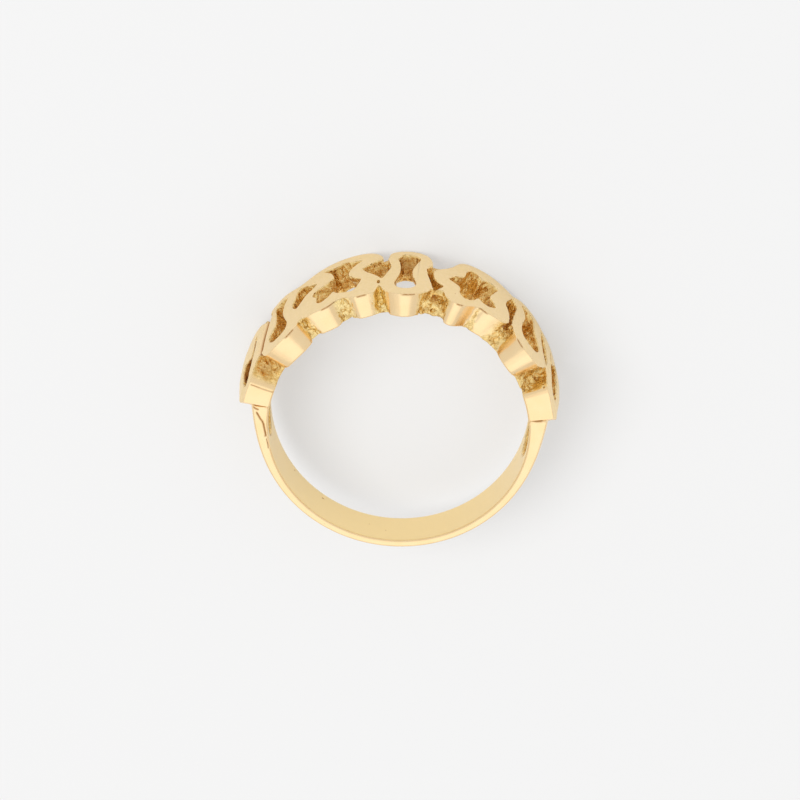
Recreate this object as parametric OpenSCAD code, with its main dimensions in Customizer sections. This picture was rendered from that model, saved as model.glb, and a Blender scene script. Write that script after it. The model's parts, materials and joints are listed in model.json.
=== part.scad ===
// Openwork finger ring: a wide pierced head on a narrow low-domed shank, cast in one piece.
// The ring lies on its side. The finger hole runs along Z and the origin is its centre.
// Angles are degrees from the middle of the head, which points along +Y, turning towards +X.

/* [Finger hole] */
// Radius of the finger hole
finger_r = 8.5; // [7.5:0.1:10]

/* [Head] */
// Wall of the head at its middle
head_wall = 1.7; // [1.4:0.05:2]
// How much further out the head stands at its two sides
head_swell = 0.12; // [0:0.02:0.3]
// How far the outside of the head is shifted to the right
head_shift = 0.08; // [0:0.02:0.12]
// How far the face stands further out at the head's left end
end_rise = 0.42; // [0.2:0.02:0.46]
// Angle at which the head ends on the left
head_left = -82; // [-84:1:-81]
// Angle at which the head ends on the right
head_right = 80; // [79:1:84]
// Points worked out along each stretch of an outline
outline_steps = 2; // [2:1:4]

/* [Shank] */
// Half the width of the shank at the back of the finger
shank_half_w = 1.67; // [1.4:0.05:1.9]
// How much wider each half is beside the finger hole's axis
shank_flare = 0.56; // [0.3:0.02:0.7]
// Thickness of the shank along its edges at the back
shank_edge_t = 0.48; // [0.4:0.02:0.7]
// Radius of the low dome across the shank
dome_r = 12.6; // [10:0.2:16]
// Angle at which the round back turns into the flatter shoulders
shoulder_from = 132; // [125:1:135]
// How much longer the radius of the shoulders is
shoulder_more_r = 3; // [2:0.1:3.2]

/* [Webs] */
// Half the width of the webs that join the cells under the face
web_half_w = 2.6; // [2.4:0.05:2.8]
// How far the near webs stay below the face of the head
near_web_drop = 0.3; // [0.2:0.05:0.6]
// How far the far webs stay below the face of the head
far_web_drop = 0.4; // [0.3:0.05:0.9]

/* [Shoulder hollows] */
// Depth of the hollow inside each shoulder
hollow_depth = 0.55; // [0.3:0.05:0.6]

/* [Hidden] */

gold = [0.95, 0.80, 0.48];
round_fn = 128;
beyond = 1.5;      // how far a cut runs past what it cuts
half_band = 3.8;   // half the height of the blank that the head is cut from
core_r = finger_r - 0.6;  // everything starts inside the finger hole, which is cut last
head_r = finger_r + head_wall + head_swell;
end_turn = 48;     // how far past the left end the raised face's own axis lies, in degrees
end_shift = 1.5;   // and how far it lies from the finger hole's axis

// Windows cut right through the head, each row [angle, place along the finger].
// A cell is pierced by one window of its own, and other windows part the cells.
end_left_window = [
    [-67.7, -1.9], [-68, -0.4], [-69.8, 0.9], [-71.7, 1.95], [-74.3, 2.4], [-77.2, 2.35],
    [-77.9, 1.5], [-77.8, 0.25], [-76, -0.15], [-73, 0.05], [-71, 0.3], [-69.7, -0.2],
    [-69.2, -1], [-68.8, -1.8]];
waist_left_window = [
    [-56.6, -2.6], [-54.5, -2.9], [-51.6, -2.85], [-50, -2.5], [-51.4, -1.9], [-52, -1],
    [-51.6, -0.3], [-50.3, 0.6], [-49.1, 1.4], [-49.8, 2.2], [-52.4, 2.45], [-55.6, 2.3],
    [-58, 1.9], [-59.2, 1.1], [-57.6, 0.5], [-56, 0], [-55.8, -0.8], [-56.2, -1.7]];
parting_41_left_window = [
    [-44.6, -2.2], [-42.6, -2.3], [-39.2, -1.8], [-35.8, -1.45], [-37.4, -0.95],
    [-40.3, -0.6], [-42.6, 0], [-44.4, 0.4], [-46.1, 0], [-47, -0.7], [-45.6, -1.5]];
star_left_window = [
    [-33, -2.7], [-30.4, -2.65], [-28, -2.5], [-25, -2.8], [-21.6, -2.6], [-17.8, -2.4],
    [-20.2, -1.9], [-22.4, -1.2], [-22.4, -0.6], [-20.4, -0.1], [-17.8, 0.4], [-19, 1.3],
    [-20.6, 1.9], [-23.8, 1.8], [-26.6, 1.5], [-28.4, 1.1], [-30.4, 1.6], [-33.4, 1.9],
    [-35.1, 1.5], [-35.4, 0.8], [-37.2, 0.2], [-35.6, -0.3], [-31.4, -0.6], [-28.6, -1.1],
    [-29.4, -1.8], [-31.2, -2.3]];
parting_11_left_window = [
    [-17.2, -1.1], [-14.6, -1.6], [-11.6, -2], [-9.4, -2.05], [-7.8, -1.9], [-6.7, -0.9],
    [-8, -0.1], [-9.7, 0.75], [-11, 0.5], [-12.6, 0.1], [-15, -0.35]];
waist_middle_window = [
    [-2.4, -2.62], [0, -2.68], [2.6, -2.55], [3.9, -2.1], [2.9, -1.5], [1.9, -0.9],
    [1.2, -0.2], [1.6, 0.6], [2.5, 1.2], [2.8, 1.7], [1.6, 2.2], [-1, 2.38], [-3.6, 2.25],
    [-5.1, 1.65], [-4.3, 0.9], [-3.4, 0.2], [-3.1, -0.6], [-3.4, -1.4], [-4, -2.1]];
parting_10_right_window = [
    [6.5, -0.75], [7.2, -1.15], [8.4, -1.4], [9.2, -1.1], [9.1, -0.4], [9.7, 0.4],
    [11.5, 0.9], [12.8, 1.2], [12.1, 1.55], [10.8, 2], [9.1, 1.9], [8.4, 1.3], [7.5, 0.5],
    [6.8, -0.1]];
star_right_window = [
    [14.9, -0.15], [16.5, -0.7], [19, -1], [20.9, -1.4], [21.8, -2.2], [24, -2.65],
    [26.4, -2.3], [27.8, -1.95], [30.6, -2.3], [34.7, -2.1], [33.4, -1.3], [32.2, -0.7],
    [31.6, -0.2], [33.2, 0.3], [34.1, 0.85], [31, 1.35], [28.6, 1.3], [26.6, 1],
    [24.4, 1.65], [21.3, 1.95], [19.3, 1.4], [19.3, 0.6], [17, 0.2]];
parting_41_right_window = [
    [42.1, -2.5], [44.2, -1.9], [43.8, -1.1], [43, -0.3], [42.4, 0.6], [42, 1.3],
    [40.6, 1.5], [40.7, 0.8], [40.2, 0], [38.8, -0.8], [39.6, -1.5], [40.8, -2.1]];
waist_right_window = [
    [47.1, -2.9], [49.6, -3], [53.4, -2.9], [54.4, -2.1], [55.2, -1.3], [57, -0.6],
    [58.4, 0.1], [57.4, 0.9], [55.2, 1.4], [52.2, 1.6], [48.8, 1.35], [47.4, 0.7],
    [47.6, -0.2], [48.6, -1.1], [48.9, -1.8], [48, -2.4]];
parting_62_right_window = [
    [59.5, -2.7], [60.5, -2.8], [62, -2.3], [63.6, -1.6], [64.8, -0.6], [64.9, 0.1],
    [64.2, 0.6], [63.2, 0.35], [62, -0.2], [60.6, -1], [59.7, -1.9]];
end_right_window = [
    [67.4, -2.4], [68.2, -2.4], [69, -1.4], [71.5, -1.95], [73.8, -2.55], [74.8, -1.7],
    [75.6, -0.5], [76.5, 0.4], [77.2, 1.1], [76.4, 1.6], [73.7, 1.7], [71, 1.15],
    [69.4, 0.1], [68.2, -1.1]];
windows = [
    end_left_window, waist_left_window, parting_41_left_window, star_left_window,
    parting_11_left_window, waist_middle_window, parting_10_right_window,
    star_right_window, parting_41_right_window, waist_right_window,
    parting_62_right_window, end_right_window];

// Edge of the head on the near side, from one lobe's tip to the next, rows as above
near_notches = [
    [[-88, 2.9], [-76, 2.9], [-73.4, 2.88], [-71.4, 2.7], [-69.2, 2.45], [-66.9, 2.15],
     [-65.2, 1.85], [-64.2, 1.55], [-63.3, 1.95], [-62.3, 2.55], [-60.8, 3.02], [-58.4, 3.33],
     [-55, 3.52], [-51.6, 3.6]],
    [[-51.6, 3.6], [-48.4, 3.58], [-45.6, 3.38], [-43.7, 3.12], [-42.7, 2.65], [-41.6, 2.5],
     [-40.4, 2.72], [-38.5, 2.93], [-36, 3.02], [-33.8, 3.07], [-31.6, 3.08]],
    [[-31.6, 3.08], [-29.6, 3], [-27.4, 2.72], [-25, 2.5], [-22.4, 2.75], [-19.8, 3],
     [-18, 3.03]],
    [[-18, 3.03], [-16, 2.98], [-14, 2.9], [-12.3, 2.7], [-11.6, 2.3], [-10.8, 1.65],
     [-10.1, 2], [-9.4, 2.4], [-8.5, 2.7], [-6.4, 3.08], [-2.8, 3.33], [-1, 3.35]],
    [[-1, 3.35], [1.2, 3.28], [3.5, 3.08], [5.8, 2.78], [7.7, 2.4], [8.7, 2], [11, 1.75],
     [13, 1.9], [13.8, 2.5], [15.2, 2.9], [16.8, 3.13], [18.6, 3.2]],
    [[18.6, 3.2], [20.6, 3.1], [23, 2.8], [25.4, 2.45], [27.5, 2.27], [29.4, 2.38],
     [31.4, 2.44]],
    [[31.4, 2.44], [33.4, 2.4], [35.8, 2.28], [38, 2.1], [39.6, 1.8], [41.2, 1.25], [42.6, 1.7],
     [44, 2.35], [45.8, 2.8], [48.4, 3.08], [51.4, 3.2]],
    [[51.4, 3.2], [54.6, 3.12], [58, 2.72], [61, 2.05], [63, 1.35], [64.2, 0.85], [65, 1.35],
     [65.7, 2.2], [66.8, 2.68], [68.6, 2.86], [72, 2.9], [88, 2.9]]];

// Edge of the head on the far side
far_notches = [
    [[-90, -3.3], [-78, -3.35], [-73, -3.38], [-69, -3.3], [-65.6, -3], [-63, -2.5],
     [-61.2, -2.9], [-58.6, -3.25], [-54.6, -3.4]],
    [[-54.6, -3.4], [-51, -3.3], [-47.6, -3.05], [-45, -2.85], [-42.6, -2.78], [-40, -2.86],
     [-36.6, -3.05], [-32.6, -3.22], [-28.4, -3.34], [-23, -3.4]],
    [[-23, -3.4], [-19, -3.38], [-15.6, -3.3], [-12.8, -3.1], [-11, -2.8], [-9.9, -2.45],
     [-9.4, -1.9], [-8.3, -1.85], [-7.8, -2.35], [-6.9, -2.85], [-4, -3.13], [-0.4, -3.2]],
    [[-0.4, -3.2], [3.6, -3.08], [6.6, -2.75], [8.2, -2.2], [8.7, -1.5], [9.1, -0.8],
     [11, -1.15], [13.6, -1.55], [15.8, -2.05], [17.4, -2.6], [19.2, -3.05], [21.8, -3.3],
     [25.6, -3.38]],
    [[25.6, -3.38], [30, -3.34], [34.6, -3.22], [38.4, -3.02], [41.6, -2.85], [43.6, -3.05],
     [46.4, -3.3], [51, -3.4]],
    [[51, -3.4], [55, -3.36], [58, -3.25], [60.4, -3.17], [62.6, -3.2], [66, -3.28],
     [70, -3.34], [75, -3.36], [88, -3.3]]];

// Mouth of the hollow inside each shoulder
hollow_left = [
    [-82, -0.9], [-88, -1.15], [-94, -1.2], [-100, -1], [-104, -0.1], [-103, 0.9],
    [-98, 1.4], [-91, 1.45], [-84, 1.2], [-80, 0.2]];
hollow_right = [
    [80, -0.9], [86, -1.25], [93, -1.4], [100, -1.25], [105.5, -0.4], [105, 0.8],
    [99, 1.5], [91, 1.6], [84, 1.3], [79, 0.3]];

// Distance from the finger hole's axis to the face of the head
function face_r(angle) =
    sqrt(head_r * head_r - pow(head_shift * cos(angle) + head_swell * sin(angle), 2))
    + head_shift * sin(angle) - head_swell * cos(angle);

// A curve through points, as Catmull and Rom draw it: the stretch from b to c at share t
function curve_at(a, b, c, d, t) =
    0.5 * (2 * b + t * (c - a) + t * t * (2 * a - 5 * b + 4 * c - d)
    + t * t * t * (3 * b - 3 * c + d - a));
function closed_curve(points) = [
    for (i = [0 : len(points) - 1], s = [0 : outline_steps - 1])
        let (n = len(points))
        curve_at(points[(i + n - 1) % n], points[i], points[(i + 1) % n],
            points[(i + 2) % n], s / outline_steps)];
function open_curve(points) = [
    for (i = [0 : len(points) - 2], s = [0 : outline_steps - 1])
        let (last = len(points) - 1)
        curve_at(points[max(i - 1, 0)], points[i], points[i + 1],
            points[min(i + 2, last)], s / outline_steps),
    points[len(points) - 1]];

// Prism along the radius at angle middle, from an outline drawn on the face of the head
module radial_prism(outline, middle, r_from, r_to) {
    flat = [for (p = outline) [face_r(p[0]) * sin(p[0] - middle), p[1]]];
    rotate([0, 0, -middle]) translate([0, r_to, 0]) rotate([90, 0, 0])
        linear_extrude(r_to - r_from) polygon(flat);
}

function mean_angle(points) = (min([for (p = points) p[0]]) + max([for (p = points) p[0]])) / 2;

module window(points) {
    radial_prism(closed_curve(points), mean_angle(points), core_r - beyond, head_r + beyond);
}

// What is cut away beyond one stretch of the head's edge. side is 1 near, -1 far.
// Each stretch starts a hair beyond the lobe's tip, so it crosses the one before at a clean angle.
module notch(points, side) {
    first = points[0];
    last = points[len(points) - 1];
    lap = 1.2;
    hair = side * 0.015;
    outside = side * (half_band + beyond);
    edge = concat([[first[0], first[1] + hair]], [for (i = [1 : len(points) - 1]) points[i]]);
    outline = concat([[first[0] - lap, outside], [first[0] - lap, first[1] + 6 * hair]],
        open_curve(edge), [[last[0] + lap, last[1] + 2 * hair], [last[0] + lap, outside]]);
    deepest = side > 0 ? min([for (p = points) p[1]]) : max([for (p = points) p[1]]);
    middle = [for (p = points) if (p[1] == deepest) p[0]][0];
    radial_prism(outline, middle, core_r - beyond, head_r + beyond);
}

// Wedge that keeps only the stretch of the head
module head_wedge(from, to) {
    reach = head_r * 2;
    linear_extrude(2 * half_band, center = true)
        polygon(concat([[0, 0]],
            [for (i = [0 : 4]) let (a = from + (to - from) * i / 4)
                [reach * sin(a), reach * cos(a)]]));
}

// Low web along one side of the head. Its outer face slopes down towards the finger.
module web(side, drop) {
    top_r = finger_r + head_wall - drop;
    top_z = web_half_w - 0.75;
    rotate_extrude($fn = round_fn)
        polygon([[core_r, side * (top_z - 0.7)], [top_r, side * (top_z - 0.7)],
            [top_r, side * top_z], [core_r, side * web_half_w]]);
}

// Raised face at the left end: a round face about an axis of its own, sloping near its near edge
module raised_end() {
    end_r = norm([face_r(head_left) + end_rise - end_shift * cos(end_turn),
        end_shift * sin(end_turn)]);
    slope_from = 1.65;
    slope_h = half_band - slope_from;
    rotate([0, 0, end_turn - head_left]) translate([0, end_shift, 0]) {
        translate([0, 0, -half_band])
            cylinder(r = end_r, h = half_band + slope_from, $fn = round_fn);
        translate([0, 0, slope_from])
            cylinder(r1 = end_r, r2 = end_r - 0.3 * slope_h, h = slope_h, $fn = round_fn);
    }
}

module head_blank() {
    difference() {
        intersection() {
            union() {
                translate([head_shift, -head_swell, 0])
                    cylinder(r = head_r, h = 2 * half_band, center = true, $fn = round_fn);
                raised_end();
            }
            head_wedge(head_left, head_right);
        }
        cylinder(r = core_r, h = 4 * half_band, center = true, $fn = round_fn);
    }
}

module head() {
    difference() {
        head_blank();
        for (points = near_notches) notch(points, 1);
        for (points = far_notches) notch(points, -1);
    }
    intersection() {
        union() {
            web(1, near_web_drop);
            web(-1, far_web_drop);
        }
        head_wedge(head_left + 4, head_right - 4);
    }
}

// Section of the shank, drawn with the finger hole's axis as its left edge
module shank_section() {
    rise = dome_r - sqrt(dome_r * dome_r - shank_half_w * shank_half_w);
    middle_r = finger_r + shank_edge_t + rise;
    inner_r = finger_r - beyond;
    intersection() {
        translate([middle_r - dome_r, 0]) circle(r = dome_r, $fn = round_fn);
        translate([inner_r, -half_band]) square([head_r - inner_r, 2 * half_band]);
    }
}

// Shoulder on the right: an arc of longer radius that runs from the back into the head
module shoulder(head_end) {
    end_r = head_r - 0.1;
    swept = shoulder_from - head_end + 0.7;
    arc = atan2(end_r * sin(swept), end_r * cos(swept) + shoulder_more_r);
    rotate([0, 0, 90 - shoulder_from]) translate([-shoulder_more_r, 0, 0])
        rotate_extrude(angle = arc, $fn = round_fn)
            translate([shoulder_more_r, 0]) shank_section();
}

// Both sides of the shank are flat and lean out towards the head
module shank_sides() {
    reach = head_r + beyond;
    back_w = shank_half_w + shank_flare * (1 - reach / finger_r);
    front_w = shank_half_w + shank_flare * (1 + reach / finger_r);
    translate([-reach, 0, 0]) rotate([90, 0, 90])
        linear_extrude(2 * reach)
            polygon([[-reach, -back_w], [reach, -front_w], [reach, front_w], [-reach, back_w]]);
}

module shank() {
    back = 2 * (180 - shoulder_from);
    intersection() {
        union() {
            rotate([0, 0, -90 - back / 2])
                rotate_extrude(angle = back, $fn = round_fn) shank_section();
            shoulder(head_right);
            mirror([1, 0, 0]) shoulder(-head_left);
        }
        shank_sides();
    }
}

module ring() {
    color(gold) difference() {
        union() {
            head();
            shank();
        }
        cylinder(r = finger_r, h = 4 * half_band, center = true, $fn = round_fn);
        for (points = windows) window(points);
        for (mouth = [hollow_left, hollow_right])
            radial_prism(closed_curve(mouth), mean_angle(mouth), core_r - beyond,
                finger_r + hollow_depth);
    }
}

ring();
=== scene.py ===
# Looks of an openwork gold ring: its cast and polished surface, lying on a pale floor.
#
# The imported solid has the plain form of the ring. The ring that shows is one mesh round the same
# finger hole, with the same outlines. It is worked out as a field on a grid that is wrapped round
# the finger: the field is below zero in the metal, so edges are rounded, rough skin is raised and
# marks are pressed in by adding to it. Lengths in the field are in mm and angles in degrees from
# the middle of the head, which points along +Y, turning towards +X.
import json
import math

import bpy
import numpy as np
from mathutils import Matrix, Vector


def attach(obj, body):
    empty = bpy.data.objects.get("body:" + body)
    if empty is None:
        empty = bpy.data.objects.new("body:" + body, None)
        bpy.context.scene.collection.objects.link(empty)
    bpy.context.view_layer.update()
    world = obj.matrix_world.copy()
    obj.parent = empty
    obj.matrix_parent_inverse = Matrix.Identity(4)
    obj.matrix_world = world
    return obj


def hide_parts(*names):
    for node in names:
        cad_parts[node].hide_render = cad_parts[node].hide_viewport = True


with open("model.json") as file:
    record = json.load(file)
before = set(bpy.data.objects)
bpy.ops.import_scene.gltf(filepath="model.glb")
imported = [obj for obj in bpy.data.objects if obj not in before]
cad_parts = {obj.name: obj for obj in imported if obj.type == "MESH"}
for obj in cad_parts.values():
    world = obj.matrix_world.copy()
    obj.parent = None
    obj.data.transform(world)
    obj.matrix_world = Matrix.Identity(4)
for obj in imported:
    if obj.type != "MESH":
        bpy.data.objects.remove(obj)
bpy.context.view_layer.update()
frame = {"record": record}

MM = 0.001

# Sizes of the head
FINGER_R = frame["record"]["mounts"][0]["dims"]["r_mm"]
HEAD_WALL = 1.7             # from the finger hole to the face, in the middle of the head
HEAD_SWELL = 0.12           # how much thicker the wall gets towards its ends
HEAD_SHIFT = 0.08           # how far the face's circle stands to the right
HEAD_R = FINGER_R + HEAD_WALL + HEAD_SWELL
HEAD_LEFT = -82             # angles at which the head ends
HEAD_RIGHT = 80
HEAD_HALF_ANGLE = 90        # how far to each side it is worked out
END_SIDE_Z = 2.9            # near and far sides of the head's ends
END_SLOPE = 2.0             # degrees by which the ends stand further out than at their sides
END_DROP = 0.7              # and over how much this comes in
END_OVERLAP = 1.2           # degrees by which the shank runs in under each end
RISE_LEFT = (54, 79)        # degrees over which the face rises towards each end
RISE_RIGHT = (60, 78)

# Sizes of the shank and of the hollows inside the shoulders
SHANK_HALF_W = 1.67         # half its width behind the finger
SHANK_FLARE = 0.56          # how much more that is a quarter turn from there
SHANK_EDGE_T = 0.48         # thickness of its near and far edges
SHANK_DOME = 0.17           # how much thicker it is between them
SHOULDER_T = 0.68           # how much thicker the shank is where it meets the head
SHOULDER_FADE = 16.5        # degrees over which that thickness fades
SHOULDER_AT = 84
HOLLOW_DEPTH = 0.55
HOLLOW_SLOPE = (-0.03, 0.5)  # how far inside its mouth it starts and is deepest

# How far the face stands out at its ends: place along the finger, left end, right end
END_RISE = [
    (-3.4, 0.2, -0.05), (-2.3, 0.33, 0.08), (-0.5, 0.38, 0.1), (0.4, 0.35, 0.05),
    (1.2, 0.31, -0.03), (2.1, 0.26, -0.06), (2.9, 0.03, -0.22), (3.6, 0, -0.25)]

# Grid, wrapped round the finger: angle, place along the finger, distance from its axis
GRID_STEP = 0.05
GRID_MID_R = 9.4            # where steps round the finger have that length
GRID_Z = 3.9
GRID_R = (8.1, 11.0)
PINCH_ROUNDS = 6            # how often metal that touches along a line only is looked for
PINCH_FILL = 0.005          # and how far below zero the field is set there
FLATTEST = 0.05             # least squared slope that counts, to keep moves short
TRIANGLES = 190000          # about what the finished mesh has

# Outlines on the face of the head, rows of [angle, place along the finger]
WINDOWS = {
    "end_left": [
        (-67.7, -1.9), (-68, -0.4), (-69.8, 0.9), (-71.7, 1.95), (-74.3, 2.4), (-77.2, 2.35),
        (-77.9, 1.5), (-77.8, 0.25), (-76, -0.15), (-73, 0.05), (-71, 0.3), (-69.7, -0.2),
        (-69.2, -1), (-68.8, -1.8)],
    "waist_left": [
        (-56.6, -2.6), (-54.5, -2.9), (-51.6, -2.85), (-50, -2.5), (-51.4, -1.9), (-52, -1),
        (-51.6, -0.3), (-50.3, 0.6), (-49.1, 1.4), (-49.8, 2.2), (-52.4, 2.45), (-55.6, 2.3),
        (-58, 1.9), (-59.2, 1.1), (-57.6, 0.5), (-56, 0), (-55.8, -0.8), (-56.2, -1.7)],
    "parting_41_left": [
        (-44.6, -2.2), (-42.6, -2.3), (-39.2, -1.8), (-35.8, -1.45), (-37.4, -0.95),
        (-40.3, -0.6), (-42.6, 0), (-44.4, 0.4), (-46.1, 0), (-47, -0.7), (-45.6, -1.5)],
    "star_left": [
        (-33, -2.7), (-30.4, -2.65), (-28, -2.5), (-25, -2.8), (-21.6, -2.6), (-17.8, -2.4),
        (-20.2, -1.9), (-22.4, -1.2), (-22.4, -0.6), (-20.4, -0.1), (-17.8, 0.4), (-19, 1.3),
        (-20.6, 1.9), (-23.8, 1.8), (-26.6, 1.5), (-28.4, 1.1), (-30.4, 1.6), (-33.4, 1.9),
        (-35.1, 1.5), (-35.4, 0.8), (-37.2, 0.2), (-35.6, -0.3), (-31.4, -0.6), (-28.6, -1.1),
        (-29.4, -1.8), (-31.2, -2.3)],
    "parting_11_left": [
        (-17.2, -1.1), (-14.6, -1.6), (-11.6, -2), (-9.4, -2.05), (-7.8, -1.9), (-6.7, -0.9),
        (-8, -0.1), (-9.7, 0.75), (-11, 0.5), (-12.6, 0.1), (-15, -0.35)],
    "pinhole": [
        (-11.5, 1.1), (-11.1, 0.95), (-10.6, 1.05), (-10.5, 1.4), (-10.9, 1.55), (-11.4, 1.4)],
    "waist_middle": [
        (-2.4, -2.62), (0, -2.68), (2.6, -2.55), (3.9, -2.1), (2.9, -1.5), (1.9, -0.9),
        (1.2, -0.2), (1.6, 0.6), (2.5, 1.2), (2.8, 1.7), (1.6, 2.2), (-1, 2.38), (-3.6, 2.25),
        (-5.1, 1.65), (-4.3, 0.9), (-3.4, 0.2), (-3.1, -0.6), (-3.4, -1.4), (-4, -2.1)],
    "parting_10_right": [
        (6.5, -0.75), (7.2, -1.15), (8.4, -1.4), (9.2, -1.1), (9.1, -0.4), (9.7, 0.4),
        (11.5, 0.9), (12.8, 1.2), (12.1, 1.55), (10.8, 2), (9.1, 1.9), (8.4, 1.3),
        (7.5, 0.5), (6.8, -0.1)],
    "star_right": [
        (14.9, -0.15), (16.5, -0.7), (19, -1), (20.9, -1.4), (21.8, -2.2), (24, -2.65),
        (26.4, -2.3), (27.8, -1.95), (30.6, -2.3), (34.7, -2.1), (33.4, -1.3), (32.2, -0.7),
        (31.6, -0.2), (33.2, 0.3), (34.1, 0.85), (31, 1.35), (28.6, 1.3), (26.6, 1),
        (24.4, 1.65), (21.3, 1.95), (19.3, 1.4), (19.3, 0.6), (17, 0.2)],
    "parting_41_right": [
        (42.1, -2.5), (44.2, -1.9), (43.8, -1.1), (43, -0.3), (42.4, 0.6), (42, 1.3),
        (40.6, 1.5), (40.7, 0.8), (40.2, 0), (38.8, -0.8), (39.6, -1.5), (40.8, -2.1)],
    "waist_right": [
        (47.1, -2.9), (49.6, -3), (53.4, -2.9), (54.4, -2.1), (55.2, -1.3), (57, -0.6),
        (58.4, 0.1), (57.4, 0.9), (55.2, 1.4), (52.2, 1.6), (48.8, 1.35), (47.4, 0.7),
        (47.6, -0.2), (48.6, -1.1), (48.9, -1.8), (48, -2.4)],
    "parting_62_right": [
        (59.5, -2.7), (60.5, -2.8), (62, -2.3), (63.6, -1.6), (64.8, -0.6), (64.9, 0.1),
        (64.2, 0.6), (63.2, 0.35), (62, -0.2), (60.6, -1), (59.7, -1.9)],
    "end_right": [
        (67.4, -2.4), (68.2, -2.4), (69, -1.4), (71.5, -1.95), (73.8, -2.55), (74.8, -1.7),
        (75.6, -0.5), (76.5, 0.4), (77.2, 1.1), (76.4, 1.6), (73.7, 1.7), (71, 1.15),
        (69.4, 0.1), (68.2, -1.1)],
}

# Edges of the head, a list for each stretch from one lobe's tip to the next, rows as above
NEAR_EDGE = [
    [(-90, 2.9), (-76, 2.9), (-73.4, 2.88), (-71.4, 2.7), (-69.2, 2.45), (-66.9, 2.15),
     (-65.2, 1.85), (-64.2, 1.55), (-63.3, 1.95), (-62.3, 2.55), (-60.8, 3.02), (-58.4, 3.33),
     (-55, 3.52), (-51.6, 3.6)],
    [(-51.6, 3.6), (-48.4, 3.58), (-45.6, 3.38), (-43.7, 3.12), (-42.7, 2.65), (-41.6, 2.5),
     (-40.4, 2.72), (-38.5, 2.93), (-36, 3.02), (-33.8, 3.07), (-31.6, 3.08)],
    [(-31.6, 3.08), (-29.6, 3), (-27.4, 2.72), (-25, 2.5), (-22.4, 2.75), (-19.8, 3), (-18, 3.03)],
    [(-18, 3.03), (-16, 2.98), (-14, 2.9), (-12.3, 2.7), (-11.6, 2.3), (-10.8, 1.65), (-10.1, 2),
     (-9.4, 2.4), (-8.5, 2.7), (-6.4, 3.08), (-2.8, 3.33), (-1, 3.35)],
    [(-1, 3.35), (1.2, 3.28), (3.5, 3.08), (5.8, 2.78), (7.7, 2.4), (8.7, 2), (11, 1.75),
     (13, 1.9), (13.8, 2.5), (15.2, 2.9), (16.8, 3.13), (18.6, 3.2)],
    [(18.6, 3.2), (20.6, 3.1), (23, 2.8), (25.4, 2.45), (27.5, 2.27), (29.4, 2.38), (31.4, 2.44)],
    [(31.4, 2.44), (33.4, 2.4), (35.8, 2.28), (38, 2.1), (39.6, 1.8), (41.2, 1.25), (42.6, 1.7),
     (44, 2.35), (45.8, 2.8), (48.4, 3.08), (51.4, 3.2)],
    [(51.4, 3.2), (54.6, 3.12), (58, 2.72), (61, 2.05), (63, 1.35), (64.2, 0.85), (65, 1.35),
     (65.7, 2.2), (66.8, 2.68), (68.6, 2.86), (72, 2.9), (90, 2.9)],
]
FAR_EDGE = [
    [(-90, -3.3), (-78, -3.35), (-73, -3.38), (-69, -3.3), (-65.6, -3), (-63, -2.5),
     (-61.2, -2.9), (-58.6, -3.25), (-54.6, -3.4)],
    [(-54.6, -3.4), (-51, -3.3), (-47.6, -3.05), (-45, -2.85), (-42.6, -2.78), (-40, -2.86),
     (-36.6, -3.05), (-32.6, -3.22), (-28.4, -3.34), (-23, -3.4)],
    [(-23, -3.4), (-19, -3.38), (-15.6, -3.3), (-12.8, -3.1), (-11, -2.8), (-9.9, -2.45),
     (-9.4, -1.9), (-8.3, -1.85), (-7.8, -2.35), (-6.9, -2.85), (-4, -3.13), (-0.4, -3.2)],
    [(-0.4, -3.2), (3.6, -3.08), (6.6, -2.75), (8.2, -2.2), (8.7, -1.5), (9.1, -0.8), (11, -1.15),
     (13.6, -1.55), (15.8, -2.05), (17.4, -2.6), (19.2, -3.05), (21.8, -3.3), (25.6, -3.38)],
    [(25.6, -3.38), (30, -3.34), (34.6, -3.22), (38.4, -3.02), (41.6, -2.85), (43.6, -3.05),
     (46.4, -3.3), (51, -3.4)],
    [(51, -3.4), (55, -3.36), (58, -3.25), (60.4, -3.17), (62.6, -3.2), (66, -3.28), (70, -3.34),
     (75, -3.36), (90, -3.3)],
]
CURVE_STEPS = 6             # points worked out along each stretch of an outline
OUTLINE_REACH = 1.2         # how far from an outline the distance to it is worked out

# Mouths of the hollows inside the shoulders, rows as above
HOLLOWS = [
    [(-82, -0.9), (-88, -1.15), (-94, -1.2), (-100, -1), (-104, -0.1), (-103, 0.9),
     (-98, 1.4), (-91, 1.45), (-84, 1.2), (-80, 0.2)],
    [(80, -0.9), (86, -1.25), (93, -1.4), (100, -1.25), (105.5, -0.4), (105, 0.8),
     (99, 1.5), (91, 1.6), (84, 1.3), (79, 0.3)],
]

# Webs under the face in the gaps between the lobes
WEB_INNER_Z = 2.55          # how far out a web reaches at the finger hole
WEB_BELOW_LOBES = 0.06      # and how far it stays below the lobes beside it
NEAR_WEB_START = 0.06       # share of the wall below the face at which a near web starts
NEAR_WEB_BEND = 0.85        # 1 would slope straight
FAR_WEB_START = 0.22
FAR_WEB_LEDGE = 0.4         # how far a far web reaches past the end of its gap, at the face
FAR_WEB_SLOPE = 2.0         # and how much further for each mm below the face
FAR_WEB_EDGE = 0.15

# Gaps between the lobes, above their webs
GAP_LOW = (0.08, 0.4)       # how far in from the lower lobe beside it a gap comes in
GAP_FLARE = 0.26            # how much further back the walls of a gap stand at the finger hole
FLARE_LOW = (0.05, 0.75)    # how far in from the lower lobe this comes in
GAP_EDGE = 0.06             # how softly a gap runs into the metal round it
NEAR_FILLET = 0.42          # how softly the walls of a near gap run into its web
FAR_FILLET = 0.12           # and those of a far gap
GAP_SKIN = 0.6              # how lumpy the walls of a gap are
WEB_SKIN = 1.3              # and how lumpy its web is

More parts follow.
